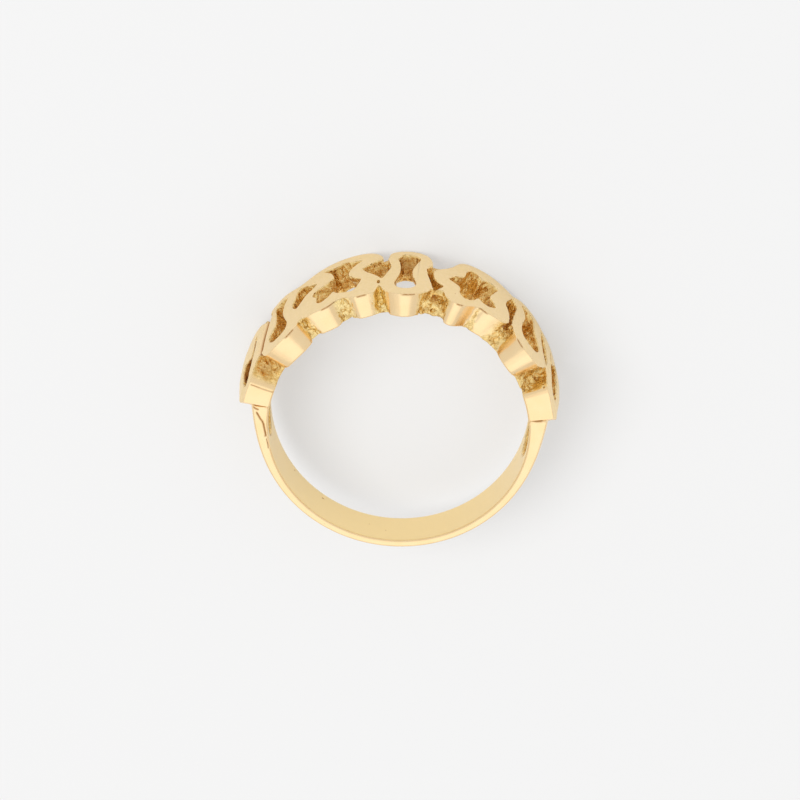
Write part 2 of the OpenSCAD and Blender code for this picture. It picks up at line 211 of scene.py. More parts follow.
# Skin of the near gaps, a row for each stretch of the near edge: how much painted shade
# darkens it, how lumpy
NEAR_SKIN = [
    (1, 1.4), (0.15, 2.0), (0.05, 1.0), (0.1, 1.6), (0.5, 1.5), (0.45, 1.2), (0.5, 1.3),
    (0.5, 1.6)]

# Walls of the windows: how far the far one leans in, from the face to the finger hole
WINDOW_LEAN = 0.63
LEAN_Z = (1.2, -1.2)        # and where upright walls turn to leaning ones

# How far windows widen below the face, on each side: from one angle to another, how far
WINDOW_FLARES = [(-62, -46, 0.1), (-31, -15.5, 0.2), (-8, 7.5, 0.32), (12, 37, 0.1)]
FLARE_FADE = 2              # degrees, shares of the wall, places along the finger and
FLARE_DEPTH = (0.1, 0.5)    # distances to the outline over which this comes in
FLARE_Z = (-2.2, -1.2)
FLARE_NEAR = (-0.6, -0.3)

# Rounding of edges, as the width over which two faces blend
FACE_EDGE = 0.035
INNER_EDGE = 0.2
SHANK_EDGE = 0.16
JOIN_BLEND = 0.22

# Rough skin of the casting: its height, and the size and seed of its coarse lumps, its fine
# ones and its small pocks, which are painted dark inside as shade
CAST_HEIGHT = 0.085
COARSE = (0.4, 1)
COARSE_SHARE = 0.7
FINE = (0.19, 2)
FINE_SHARE = 0.5
POCKS = (0.14, 3)
POCK_LEVEL = (0.3, 0.85)    # values of their random field over which they get deep
POCK_DEPTH = 0.1
POCK_SHADE = 0.45
LUMP_GAIN = 2.2             # brings a random field to between -1 and 1

# Where rough skin and its look come in: by the share of the wall below the face, or by the
# distance to a window, gap, web or hollow
SKIN_DEPTH = (0.02, 0.22)
LOOK_DEPTH = (0.01, 0.05)
WINDOW_SKIN = (-0.5, -0.1)
WINDOW_LOOK = (-0.3, -0.12)
GAP_LOOK = (-0.25, -0.05)
WEB_LOOK = (-0.05, 0.05)
HOLLOW_LOOK = (0, 0.12)
HOLLOW_END = (0.8, 0.5)     # how far outside the finger hole it ends
HOLLOW_SHADE = 0.9           # how much painted shade darkens the hollows, where 1 is darkest
HEAD_PAST = 0.1             # how far the look of the head reaches into the shank

# Furrows on the near side, painted dark inside as shade: depth, half width and points of
# [angle, distance]
FURROWS = [
    ("seam_left", 0.26, 0.105, [(-83.5, 9.4), (-83.4, 9.1), (-83.2, 8.78)]),
    ("seam_right", 0.1, 0.13, [(81.6, 8.8), (81.9, 9.05), (81.9, 9.3)]),
    ("block_left", 0.05, 0.035, [(-74.2, 10.1), (-74.4, 9.3), (-74.4, 8.55)]),
    ("nick_left", 0.06, 0.05, [(-85, 9.52), (-85.5, 9.37), (-85.8, 9.2)]),
    ("crease_left", 0.07, 0.055, [(-87.2, 9.27), (-88.8, 9.11), (-90, 9), (-91.2, 8.86),
                                 (-92.6, 8.78), (-94.6, 8.73), (-96.8, 8.68), (-98.4, 8.66)]),
    ("crease_left_end", 0.04, 0.04, [(-99.9, 8.63), (-102.4, 8.61), (-104.4, 8.63)]),
]
FURROW_R = 9                # distance at which their angles are turned into mm
FURROW_Z = 1.2              # place along the finger from which on they are cut in
FURROW_REACH = 6            # half widths past which they no longer count

# Lines pressed into the face and painted dark as shade: depth, half width and points of
# [angle, place along the finger]
FACE_LINES = [
    ("parting_62_left", 0.34, 0.19, [(-60.2, -2.8), (-61.2, -2.05), (-62.2, -1.1), (-63.2, 0.1),
                                     (-63.8, 0.9), (-64.2, 1.6)]),
]
FACE_LINE_REACH = 4
FACE_LINE_SHADE = 1.4       # how strongly painted shade darkens them
FACE_LINE_END = (0.7, 0.4)  # and how far below the face this ends

# Shallow grooves under the near rim of the face, painted dark as a shadow line, each from one
# angle to another
RIM_LINES = [(-49.5, -45), (-33, -27), (-19, -15), (-2.5, 3), (18, 21), (27, 31), (45, 48.5)]
RIM_LINE_FADE = 0.6         # degrees over which a line fades at each end
RIM_LINE_DEPTH = 0.045
RIM_LINE_BELOW = 0.06       # how far under the face it runs
RIM_LINE_WIDTH = 0.05
RIM_LINE_NEAR = (-0.12, -0.04)  # distances to the edge over which it comes in

# Pits, painted dark inside as shade: angle, place along the finger, distance from its axis,
# radius, depth
PITS = [
    ("groove_11", 12.2, 2.1, 9.6, 0.16, 0.16),
    ("recess_left", -62.6, 2.45, 9.4, 0.1, 0.12),
    ("recess_left_end", -70.6, 2.65, 9.3, 0.08, 0.06),
    ("recess_left_inner", -70.5, 2.85, 8.8, 0.12, 0.08),
    ("recess_right", 67.2, 2.6, 10.0, 0.1, 0.12),
    ("near_left", -150, 1.76, 8.78, 0.07, 0.05),
    ("near_crease", -98.3, 2.14, 8.76, 0.07, 0.06),
    ("near_right", 83.3, 2.3, 8.68, 0.05, 0.04),
    ("inner_129", -129, -1.3, 8.5, 0.09, 0.06),
    ("inner_147", -147, -1.05, 8.5, 0.12, 0.06),
    ("inner_170", -170, -0.2, 8.5, 0.07, 0.05),
    ("inner_177", -177.5, 0.3, 8.5, 0.07, 0.05),
    ("face_star_right", 17.5, 1.75, 10.2, 0.06, 0.05),
]
PIT_REACH = 3               # radii past which a spot no longer counts
PIT_MARGIN = 0.6            # and how much further it is worked out in and out

# Knobs on rough skin, rows as for the pits, with their height
KNOBS = [
    ("groove_11_upper", 11.2, 1.95, 9.95, 0.22, 0.22),
    ("groove_11_lower", 10.6, 2.3, 9.25, 0.2, 0.2),
    ("recess_right_upper", 64.5, 1.6, 9.3, 0.2, 0.15),
]

# Painted shade in windows, recesses and hollows, with no pit: rows as for the pits, with how
# strong it is
SHADE_SPOTS = [
    ("end_left", -74, 0.6, 9.8, 1.3, 1.4),
    ("end_left_slit", -69, -0.9, 9.9, 1.0, 1.3),
    ("recess_left", -67, 2.4, 9.6, 0.9, 0.6),
    ("star_right", 24.5, -0.2, 9.4, 1.0, 0.9),
    ("star_right_tip", 31, 0.2, 9.6, 0.7, 0.75),
    ("parting_41_right", 42, -0.3, 9.6, 0.9, 0.65),
    ("waist_middle", -0.6, -2.1, 9.6, 1.2, 0.62),
    ("parting_11_left", -10.5, -1.6, 9.6, 0.7, 0.45),
    ("hollow_left", -93, 0.2, 8.9, 1.5, 0.8),
    ("hollow_right", 95, 0.2, 8.9, 1.5, 0.95),
]


def face_r(angle):
    """Distance of the head's face from the finger's axis, as in the solid"""
    a = np.radians(angle)
    aside = HEAD_SHIFT * np.cos(a) + HEAD_SWELL * np.sin(a)
    return np.sqrt(HEAD_R ** 2 - aside ** 2) + HEAD_SHIFT * np.sin(a) - HEAD_SWELL * np.cos(a)


def smooth_step(low, high, x):
    """0 below low, 1 above high, and a smooth rise between them. Low may be above high."""
    t = np.clip((x - low) / (high - low), 0, 1)
    return t * t * (3 - 2 * t)


def smooth_max(a, b, width):
    """The larger of two fields, with the corner between them rounded off"""
    near = np.maximum(width - np.abs(a - b), 0) / width
    return np.maximum(a, b) + near * near * (width / 4)


def smooth_min(a, b, width):
    """The smaller of two fields, with the corner between them rounded off"""
    return -smooth_max(-a, -b, width)


def curve(points, closed):
    """Points along a smooth curve that passes through all the given ones"""
    p = np.array(points, float)
    if closed:
        a, b, c, d = np.roll(p, 1, 0), p, np.roll(p, -1, 0), np.roll(p, -2, 0)
    else:
        a = np.vstack([p[:1], p[:-2]])
        b = p[:-1]
        c = p[1:]
        d = np.vstack([p[2:], p[-1:]])
    t = (np.arange(CURVE_STEPS) / CURVE_STEPS)[None, :, None]
    a, b, c, d = (q[:, None, :] for q in (a, b, c, d))
    line = 0.5 * (2 * b + t * (c - a) + t ** 2 * (2 * a - 5 * b + 4 * c - d)
                  + t ** 3 * (3 * b - 3 * c + d - a))
    line = line.reshape(-1, 2)
    return line if closed else np.vstack([line, p[-1:]])


class Grid:
    """The grid round the finger, and the ways to read a field on it"""

    def __init__(self, step):
        self.turns = int(round(2 * math.pi * GRID_MID_R / step))
        self.angle = (np.arange(self.turns) * 360 / self.turns - 180).astype(np.float32)
        self.z = np.arange(-GRID_Z, GRID_Z, step, dtype=np.float32)
        self.r = np.arange(GRID_R[0], GRID_R[1], step, dtype=np.float32)
        self.step = step

    def places(self, index):
        """Angles, places along the finger and distances from its axis for places in the grid"""
        return (index[:, 0] * 360 / self.turns - 180, self.z[0] + index[:, 1] * self.step,
                self.r[0] + index[:, 2] * self.step)

    def index(self, angle, z, r):
        return np.stack([(angle + 180) * self.turns / 360 % self.turns,
                         (z - self.z[0]) / self.step, (r - self.r[0]) / self.step], 1)

    def read(self, field, index):
        """Values of a field between the grid's points"""
        low = np.floor(index).astype(int)
        low[:, 1] = np.clip(low[:, 1], 0, len(self.z) - 2)
        low[:, 2] = np.clip(low[:, 2], 0, len(self.r) - 2)
        share = (index - low).astype(np.float32)
        total = np.zeros(len(index), np.float32)
        for corner in np.ndindex(2, 2, 2):
            weight = np.prod(np.where(np.array(corner), share, 1 - share), 1)
            i, j, k = (low + corner).T
            total += weight * field[i % self.turns, j, k]
        return total

    def slope(self, field, index):
        """Slope of a field per mm, round the finger, along it and outwards"""
        found = []
        r = self.places(index)[2]
        spans = (np.radians(360 / self.turns) * r, self.step, self.step)
        for axis in range(3):
            aside = np.zeros(3)
            aside[axis] = 0.5
            change = self.read(field, index + aside) - self.read(field, index - aside)
            found.append(change / spans[axis])
        return np.stack(found, 1)


def spline_weights(count, cells):
    """How much each of a row of random values counts at each grid point, as a smooth spline"""
    at = np.linspace(0, cells, count, endpoint=False)
    low = np.floor(at).astype(int)
    t = at - low
    weights = np.zeros((count, cells + 4), np.float32)
    rows = np.arange(count)
    shares = ((1 - t) ** 3 / 6, (3 * t ** 3 - 6 * t ** 2 + 4) / 6,
              (-3 * t ** 3 + 3 * t ** 2 + 3 * t + 1) / 6, t ** 3 / 6)
    for ahead, share in enumerate(shares):
        weights[rows, low + ahead] = share
    return weights


def lumps(grid, size, seed):
    """Smooth random field of lumps of one size, mostly between -1 and 1"""
    counts = (grid.turns, len(grid.z), len(grid.r))
    cells = [max(2, int(round(count * grid.step / size))) for count in counts]
    rng = np.random.default_rng(seed)
    values = rng.uniform(-1, 1, [c + 4 for c in cells]).astype(np.float32)
    values[-4:] = values[:4]
    weights = [spline_weights(count, c) for count, c in zip(counts, cells)]
    field = np.tensordot(weights[0], values, (1, 0))
    field = np.moveaxis(np.tensordot(weights[1], field, (1, 1)), 0, 1)
    field = np.tensordot(field, weights[2], (2, 1))
    return field * LUMP_GAIN


def line_distance(line, x, y, closed, reach):
    """Distance in mm from each point of the plane x by y to a line, up to reach"""
    best = np.full((len(x), len(y)), reach, np.float32)
    ends = np.roll(line, -1, 0) if closed else line[1:]
    for (x0, y0), (x1, y1) in zip(line, ends):
        first = np.searchsorted(x, min(x0, x1) - reach)
        last = np.searchsorted(x, max(x0, x1) + reach)
        dx = x[first:last, None] - x0
        dy = y[None, :] - y0
        length2 = max((x1 - x0) ** 2 + (y1 - y0) ** 2, 1e-12)
        t = np.clip((dx * (x1 - x0) + dy * (y1 - y0)) / length2, 0, 1)
        away = np.hypot(dx - t * (x1 - x0), dy - t * (y1 - y0))
        best[first:last] = np.minimum(best[first:last], away)
    return best


def inside_outline(line, x, y):
    """Whether each point of the plane x by y lies in a closed line"""
    inside = np.zeros((len(x), len(y)), bool)
    for (x0, y0), (x1, y1) in zip(line, np.roll(line, -1, 0)):
        if y0 == y1:
            continue
        spans = (y > min(y0, y1)) & (y <= max(y0, y1))
        cross = x0 + (y - y0) * (x1 - x0) / (y1 - y0)
        inside ^= spans[None, :] & (x[:, None] < cross[None, :])
    return inside


def on_face(points):
    """Outline points as mm round the face and mm along the finger"""
    scale = math.radians(1) * (FINGER_R + HEAD_WALL)
    return np.array(points, float) * (scale, 1)


def hole_field(outlines, x, z):
    """Signed distance to closed outlines, above zero inside them"""
    field = np.full((len(x), len(z)), -OUTLINE_REACH, np.float32)
    for points in outlines:
        line = on_face(curve(points, True))
        away = line_distance(line, x, z, True, OUTLINE_REACH)
        field = np.maximum(field, np.where(inside_outline(line, x, z), away, -away))
    return field


def edge_field(stretches, x, z, side, skins):
    """Signed distance to one edge of the head, above zero beyond it. Also, at each angle, where
    the gap there ends, where the lower lobe beside it does, how much painted shade darkens its
    skin and how lumpy that is."""
    line = np.vstack([curve(points, False)[:-1] for points in stretches] + [[stretches[-1][-1]]])
    flat = on_face(line)
    away = line_distance(flat, x, z, False, OUTLINE_REACH)
    height = np.interp(x, flat[:, 0], flat[:, 1])
    beyond = side * (z[None, :] - height[:, None]) > 0
    floor = np.zeros(len(x), np.float32)
    lobe = np.zeros(len(x), np.float32)
    dark = np.zeros(len(x), np.float32)
    lumpy = np.zeros(len(x), np.float32)
    for points, skin in zip(stretches, skins):
        within = (x >= on_face(points)[0, 0]) & (x <= on_face(points)[-1, 0])
        floor[within] = min(side * p[1] for p in points)
        lobe[within] = min(side * points[0][1], side * points[-1][1])
        dark[within], lumpy[within] = skin
    return np.where(beyond, away, -away), floor, lobe, dark, lumpy


def shank_field(angle, z, r):
    """Field of the shank, not yet cut by the finger hole"""
    half = SHANK_HALF_W + SHANK_FLARE * (1 + np.cos(np.radians(angle)))
    dome = SHANK_DOME * (1 - (z / half) ** 2)
    shoulder = SHOULDER_T * np.exp(-(np.abs(angle) - SHOULDER_AT) / SHOULDER_FADE)
    outside = r - (FINGER_R + SHANK_EDGE_T + shoulder) - dome
    return smooth_max(outside, np.abs(z) - half, SHANK_EDGE)


def near_web_field(z, depth, floor, lobe):
    """Web in the gaps along the near edge. It slopes from under the face to the finger hole."""
    end = np.maximum(floor, np.minimum(WEB_INNER_Z, lobe - WEB_BELOW_LOBES))
    t = np.clip((depth - NEAR_WEB_START) / (1 - NEAR_WEB_START), 0, 1)
    top = floor + (end - floor) * t ** NEAR_WEB_BEND
    return (z - top) / np.sqrt(1 + ((end - floor) / HEAD_WALL) ** 2)


def far_web_field(z, depth, floor):
    """Web in the gaps along the far edge. It slopes out from the gap's end, under the face."""
    end = np.minimum(floor + FAR_WEB_LEDGE + FAR_WEB_SLOPE * depth * HEAD_WALL, WEB_INNER_Z)
    return smooth_max((FAR_WEB_START - depth) * HEAD_WALL, -z - end, FAR_WEB_EDGE)


def leaned(grid, flat, shift):
    """A field of angle and place along the finger, read further back by a shift that may vary"""
    at = np.clip((grid.z[None, :, None] - shift - grid.z[0]) / grid.step, 0, len(grid.z) - 1.001)
    low = at.astype(int)
    rows = np.arange(len(flat))[:, None, None]
    share = (at - low).astype(np.float32)
    return flat[rows, low] * (1 - share) + flat[rows, low + 1] * share


def head_field(grid, part, skin):
    """Field of the head over a part of the grid's angles, not yet cut by the finger hole, how
    rough its skin is, how much painted shade darkens it deep in windows and gaps, and the
    painted shade in pressed lines and under the near rim"""
    angle = grid.angle[part]
    x = np.radians(angle) * (FINGER_R + HEAD_WALL)
    z = grid.z[None, :, None]
    r = grid.r[None, None, :]
    face = face_r(angle)[:, None, None] + end_rise(angle, grid.z)[:, :, None]
    depth = np.clip((face - r) / (face - FINGER_R), 0, 1)
    below = smooth_step(*LOOK_DEPTH, depth)
    skin = skin * smooth_step(*SKIN_DEPTH, depth)
    windows = hole_field(WINDOWS.values(), x, grid.z)
    windows = leaned(grid, windows, depth * WINDOW_LEAN * smooth_step(*LEAN_Z, z))
    wider = window_flare(angle)[:, None, None] * smooth_step(*FLARE_DEPTH, depth)
    windows = windows + wider * smooth_step(*FLARE_Z, z) * smooth_step(*FLARE_NEAR, windows)
    metal = windows + skin * smooth_step(*WINDOW_SKIN, windows)
    rough = below * smooth_step(*WINDOW_LOOK, windows)
    # Painted shade: deep in windows, and below the face in gaps, the colour turns darker
    shade_tint = rough.copy()
    stain = np.zeros(metal.shape, np.float32)
    for side, stretches in ((1, NEAR_EDGE), (-1, FAR_EDGE)):
        skins = NEAR_SKIN if side > 0 else np.ones((len(stretches), 2))
        edge, floor, lobe, dark, lumpy = edge_field(stretches, x, grid.z, side, skins)
        floor, lobe, dark, lumpy = (line[:, None, None] for line in (floor, lobe, dark, lumpy))
        low = smooth_step(lobe - GAP_LOW[0], lobe - GAP_LOW[1], side * z)
        flare = smooth_step(lobe - FLARE_LOW[0], lobe - FLARE_LOW[1], side * z)
        gap = edge[:, :, None] + GAP_FLARE * flare * depth + GAP_SKIN * lumpy * skin * low
        if side > 0:
            web = near_web_field(z, depth, floor, lobe)
        else:
            web = far_web_field(z, depth, floor)
        web = web + WEB_SKIN * lumpy * skin
        in_gap = np.maximum(low, smooth_step(*WEB_LOOK, gap - web)) * below
        in_gap = in_gap * smooth_step(*GAP_LOOK, gap)
        rough = np.maximum(rough, in_gap)
        shade_tint = np.maximum(shade_tint, in_gap * dark)
        fillet = FAR_FILLET + (NEAR_FILLET - FAR_FILLET) * low * (side > 0)
        metal = smooth_max(metal, smooth_min(gap, web, fillet), GAP_EDGE)
        if side > 0:
            # A shallow groove under the near rim, painted dark as a shadow line
            rim = rim_field(angle)[:, None, None] * smooth_step(*RIM_LINE_NEAR, gap)
            rim = rim * np.exp(-((face - r - RIM_LINE_BELOW) / RIM_LINE_WIDTH) ** 2)
            metal = metal + RIM_LINE_DEPTH * rim
            stain = np.maximum(stain, rim)
    surface = face
    for _, deep, half_width, points in FACE_LINES:
        line = on_face(curve(points, False))
        line = line_field(line, x, grid.z, half_width, FACE_LINE_REACH)[:, :, None]
        surface = surface - deep * line
        # The pressed line is painted dark as shade, down to a little below the face
        shown = FACE_LINE_SHADE * line * smooth_step(*FACE_LINE_END, face - r)
        stain = np.maximum(stain, shown)
    metal = smooth_max(metal, r - surface, FACE_EDGE)
    lean = END_SLOPE * smooth_step(0, END_DROP, END_SIDE_Z - np.abs(z))
    for end, away in ((HEAD_LEFT, -1), (HEAD_RIGHT, 1)):
        beyond = np.radians(away * (angle[:, None, None] - end) - lean) * GRID_MID_R
        metal = smooth_max(metal, beyond, FACE_EDGE)
    return metal, rough, shade_tint, stain


def window_flare(angle):
    """How far the windows widen below the face, at each angle"""
    return sum(wide * smooth_step(first, first + FLARE_FADE, angle)
               * smooth_step(last, last - FLARE_FADE, angle) for first, last, wide in WINDOW_FLARES)


def end_rise(angle, z):
    """How far the face stands out at the head's ends, at each angle and place along the finger"""
    place, left, right = np.array(END_RISE).T
    return (smooth_step(*RISE_LEFT, -angle)[:, None] * np.interp(z, place, left)
            + smooth_step(*RISE_RIGHT, angle)[:, None] * np.interp(z, place, right))


def rim_field(angle):
    """1 at the angles where a groove painted dark as a shadow line runs under the near rim,
    fading at its two ends
    """
    field = np.zeros(len(angle))
    for first, last in RIM_LINES:
        starts = smooth_step(first - RIM_LINE_FADE, first + RIM_LINE_FADE, angle)
        ends = smooth_step(last + RIM_LINE_FADE, last - RIM_LINE_FADE, angle)
        field = np.maximum(field, starts * ends)
    return field


def line_field(line, x, y, half_width, reach):
    """How much a pressed line counts at each point of the plane x by y"""
    away = line_distance(line, x, y, False, reach * half_width)
    return np.exp(-(away / half_width) ** 2)


def spots(grid, rows):
    """For each row a part of the grid, how much its spot counts there and its strength"""
    for _, angle, z, r, radius, strong in rows:
        reach = PIT_REACH * radius
        across = np.radians((grid.angle - angle + 180) % 360 - 180) * r
        part = np.ix_(np.abs(across) < reach, np.abs(grid.z - z) < reach,
                      np.abs(grid.r - r) < reach + PIT_MARGIN)
        away2 = across[part[0]] ** 2 + (grid.z[part[1]] - z) ** 2 + (grid.r[part[2]] - r) ** 2
        yield part, np.exp(-away2 / radius ** 2), strong


def ring_fields(grid):
    """The ring's field, how rough its skin is, how much painted shade darkens it deep in
    windows, gaps and hollows, and the painted shade in pits, pocks, furrows, lines and recesses
    """
    angle = grid.angle[:, None, None]
    z = grid.z[None, :, None]
    r = grid.r[None, None, :]
    skin = COARSE_SHARE * lumps(grid, *COARSE) + FINE_SHARE * lumps(grid, *FINE)
    skin = CAST_HEIGHT * skin
    metal = shank_field(angle, z, r)
    rough = np.zeros(metal.shape, np.float32)
    shade_tint = np.zeros(metal.shape, np.float32)
    stain = np.zeros(metal.shape, np.float32)
    part = np.flatnonzero(np.abs(grid.angle) < HEAD_HALF_ANGLE)
    head, head_rough, head_shade_tint, stain[part] = head_field(grid, part, skin[part])
    ends = shank_field(angle[part], z, r)
    inward = np.minimum(grid.angle[part] - HEAD_LEFT, HEAD_RIGHT - grid.angle[part])
    ends = np.maximum(ends, (np.radians(inward - END_OVERLAP) * GRID_MID_R)[:, None, None])
    metal[part] = smooth_min(head, ends, JOIN_BLEND)
    rough[part] = head_rough * (head < ends + HEAD_PAST)
    shade_tint[part] = head_shade_tint * (head < ends + HEAD_PAST)

    mouths = hole_field(HOLLOWS, np.radians(grid.angle) * (FINGER_R + HEAD_WALL), grid.z)
    mouths = mouths[:, :, None]
    dish = HOLLOW_DEPTH * smooth_step(*HOLLOW_SLOPE, mouths)
    in_dish = smooth_step(*HOLLOW_LOOK, mouths) * smooth_step(
        FINGER_R + HOLLOW_END[0], FINGER_R + HOLLOW_END[1], r)
    inside = FINGER_R + dish + skin * in_dish - r
    metal = smooth_max(metal, inside, INNER_EDGE)
    rough = np.maximum(rough, in_dish)
    # Painted shade deep in the hollows
    shade_tint = np.maximum(shade_tint, HOLLOW_SHADE * in_dish)

    # Pocks are pressed into rough skin and painted dark inside as shade
    pocks = rough * smooth_step(*POCK_LEVEL, lumps(grid, *POCKS))
    metal = metal + POCK_DEPTH * pocks
    stain = np.maximum(stain, POCK_SHADE * pocks)
    for where, knob, high in spots(grid, KNOBS):
        metal[where] -= high * knob
    # Furrows and pits are pressed in and painted dark inside as shade
    x = np.radians(grid.angle) * FURROW_R
    for _, deep, half_width, points in FURROWS:
        line = np.array(points) * (math.radians(1) * FURROW_R, 1)
        furrow = line_field(line, x, grid.r, half_width, FURROW_REACH)[:, None, :]
        furrow = furrow * (z > FURROW_Z)
        metal += deep * furrow
        stain = np.maximum(stain, furrow)
    for where, pit, deep in spots(grid, PITS):
        metal[where] += deep * pit
        stain[where] = np.maximum(stain[where], pit)
    # Painted shade in windows, recesses and hollows, on rough skin only
    for where, spot, strong in spots(grid, SHADE_SPOTS):
        stain[where] = np.maximum(stain[where], strong * spot * rough[where])
    return metal, rough, shade_tint, stain


def without_pinches(field):
    """The field with metal added wherever two bits of metal would touch along one line only"""
    field = field.copy()
    for _ in range(PINCH_ROUNDS):
        for e, f in ((0, 1), (0, 2), (1, 2)):
            inside = field < 0
            ahead_e = np.roll(inside, -1, e)
            ahead_f = np.roll(inside, -1, f)
            opposite = np.roll(ahead_e, -1, f)
            at = np.argwhere((inside == opposite) & (ahead_e == ahead_f) & (inside != ahead_e))
            corners = np.stack([at] * 4)
            corners[1::2, :, e] += 1
            corners[2:, :, f] += 1
            corners[:, :, 0] %= len(field)
            values = field[tuple(np.moveaxis(corners, 2, 0))]
            values[values < 0] = np.inf
            weakest = corners[values.argmin(0), np.arange(len(at))]
            field[tuple(weakest.T)] = -PINCH_FILL
    return field


def surface_net(field):
    """Vertices and quads of the surface where a field is zero. The first axis goes round."""
    size = field.shape
    inside = field < 0
    counts = np.zeros((size[0], size[1] - 1, size[2] - 1), np.int8)
    for a, b, c in np.ndindex(2, 2, 2):
        turned = np.roll(inside, -a, 0)
        counts += turned[:, b:size[1] - 1 + b, c:size[2] - 1 + c]
    cells = np.argwhere((counts > 0) & (counts < 8))
    number = np.full(counts.shape, -1, np.int64)
    number[tuple(cells.T)] = np.arange(len(cells))
    corner = {}
    for a, b, c in np.ndindex(2, 2, 2):
        corner[a, b, c] = field[(cells[:, 0] + a) % size[0], cells[:, 1] + b, cells[:, 2] + c]
    total = np.zeros((len(cells), 3))
    crossings = np.zeros(len(cells))
    for start in corner:
        for axis in range(3):
            if start[axis]:
                continue
            end = tuple(s + (d == axis) for d, s in enumerate(start))
            f0, f1 = corner[start], corner[end]
            crosses = (f0 < 0) != (f1 < 0)
            share = np.where(crosses, f0 / np.where(crosses, f0 - f1, 1), 0)
            place = np.array(start, float)[None, :].repeat(len(cells), 0)
            place[:, axis] += share
            total += place * crosses[:, None]
            crossings += crosses
    vertices = cells + total / crossings[:, None]
    quads = []
    for axis in range(3):
        ahead = np.roll(inside, -1, axis)
        changes = inside != ahead
        if axis:
            changes[(slice(None),) * axis + (-1,)] = False
        points = np.argwhere(changes)
        e, f = (axis + 1) % 3, (axis + 2) % 3
        around = []
        for back_e, back_f in ((1, 1), (0, 1), (0, 0), (1, 0)):
            at = points.copy()
            at[:, e] -= back_e
            at[:, f] -= back_f
            at[:, 0] %= size[0]
            around.append(number[tuple(at.T)])
        quad = np.stack(around, 1)
        starts_inside = inside[tuple(points.T)]
        quad[starts_inside] = quad[starts_inside][:, ::-1]
        quads.append(quad)
    return vertices, np.vstack(quads)


def without_specks(vertices, quads):
    """The surface without the small bits that lie loose beside it or inside it"""
    label = np.arange(len(vertices))
    joined = False
    while not joined:
        lower = label.copy()
        np.minimum.at(lower, quads.ravel(), np.repeat(label[quads].min(1), 4))
        lower = lower[lower]
        joined = bool((lower == label).all())
        label = lower
    kept = label == np.bincount(label).argmax()
    number = np.cumsum(kept) - 1
    return vertices[kept], number[quads[kept[quads[:, 0]]]]


def settle(grid, field, index, rounds):
    """Moves places in the grid onto the field's zero surface"""
    for _ in range(rounds):
        value = grid.read(field, index)
        slope = grid.slope(field, index)
        size2 = np.maximum((slope ** 2).sum(1), FLATTEST)
        move = np.clip(-value / size2, -grid.step, grid.step)[:, None] * slope
        r = grid.places(index)[2]
        index = index + move / np.stack(
            [np.radians(360 / grid.turns) * r, np.full(len(r), grid.step),
             np.full(len(r), grid.step)], 1)
    return index


def to_space(grid, index):
    """Points in metres for places in the grid"""
    angle, z, r = grid.places(index)
    a = np.radians(angle)
    return np.stack([r * np.sin(a), r * np.cos(a), z], 1) * MM


def to_grid(grid, points):
    p = points / MM
    return grid.index(np.degrees(np.arctan2(p[:, 0], p[:, 1])), p[:, 2],
                      np.hypot(p[:, 0], p[:, 1]))


def surface_normals(grid, field, index):
    slope = grid.slope(field, index)
    a = np.radians(grid.places(index)[0])
    n = np.stack([slope[:, 0] * np.cos(a) + slope[:, 2] * np.sin(a),
                  -slope[:, 0] * np.sin(a) + slope[:, 2] * np.cos(a), slope[:, 1]], 1)
    return n / np.maximum(np.linalg.norm(n, axis=1), 1e-6)[:, None]


def make_mesh(name, points, faces):
    mesh = bpy.data.meshes.new(name)
    mesh.from_pydata(points.tolist(), [], faces.tolist())
    mesh.validate()
    return mesh


def add_object(name, data):
    obj = bpy.data.objects.new(name, data)
    bpy.context.scene.collection.objects.link(obj)
    return obj


def mesh_points(mesh):
    flat = np.empty(len(mesh.vertices) * 3, np.float32)
    mesh.vertices.foreach_get("co", flat)
    return flat.reshape(-1, 3).astype(float)


def thin_out(obj):
    """Leaves fewer triangles where the surface is plain"""
    modifier = obj.modifiers.new("thin_out", "DECIMATE")
    modifier.ratio = min(1, TRIANGLES / (2 * len(obj.data.polygons)))
    shown = obj.evaluated_get(bpy.context.evaluated_depsgraph_get())
    thinned = bpy.data.meshes.new_from_object(shown)
    obj.modifiers.clear()
    old = obj.data
    obj.data = thinned
    bpy.data.meshes.remove(old)


def make_ring():
    """The mesh of the whole ring, with its normals and the look of its skin"""
    grid = Grid(GRID_STEP)
    metal, rough, shade_tint, stain = ring_fields(grid)
    metal = without_pinches(metal)
    index, quads = without_specks(*surface_net(metal))
    index = settle(grid, metal, index, 2)
    points = to_space(grid, index)
    a, b, c, d = (points[quads[:, k]] for k in range(4))
    volume = (np.cross(b - a, c - a) * a).sum() + (np.cross(c - a, d - a) * a).sum()
    if volume < 0:
        quads = quads[:, ::-1]
    ring = add_object("ring_surface", make_mesh("ring_surface", points, quads))
    thin_out(ring)
    mesh = ring.data
    index = settle(grid, metal, to_grid(grid, mesh_points(mesh)), 1)
    mesh.vertices.foreach_set("co", to_space(grid, index).astype(np.float32).ravel())
    # Stored for the material: roughness of the skin, and the two amounts of painted shade
    for name, field in (("cast_skin", rough), ("cast_tint", shade_tint), ("stain", stain)):
        layer = mesh.attributes.new(name, "FLOAT", "POINT")
        layer.data.foreach_set("value", grid.read(field, index).astype(np.float32))
    mesh.polygons.foreach_set("use_smooth", np.ones(len(mesh.polygons), bool))
    mesh.normals_split_custom_set_from_vertices(surface_normals(grid, metal, index).tolist())
    mesh.update()
    return ring


ring = make_ring()
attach(ring, "root")
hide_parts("ring")


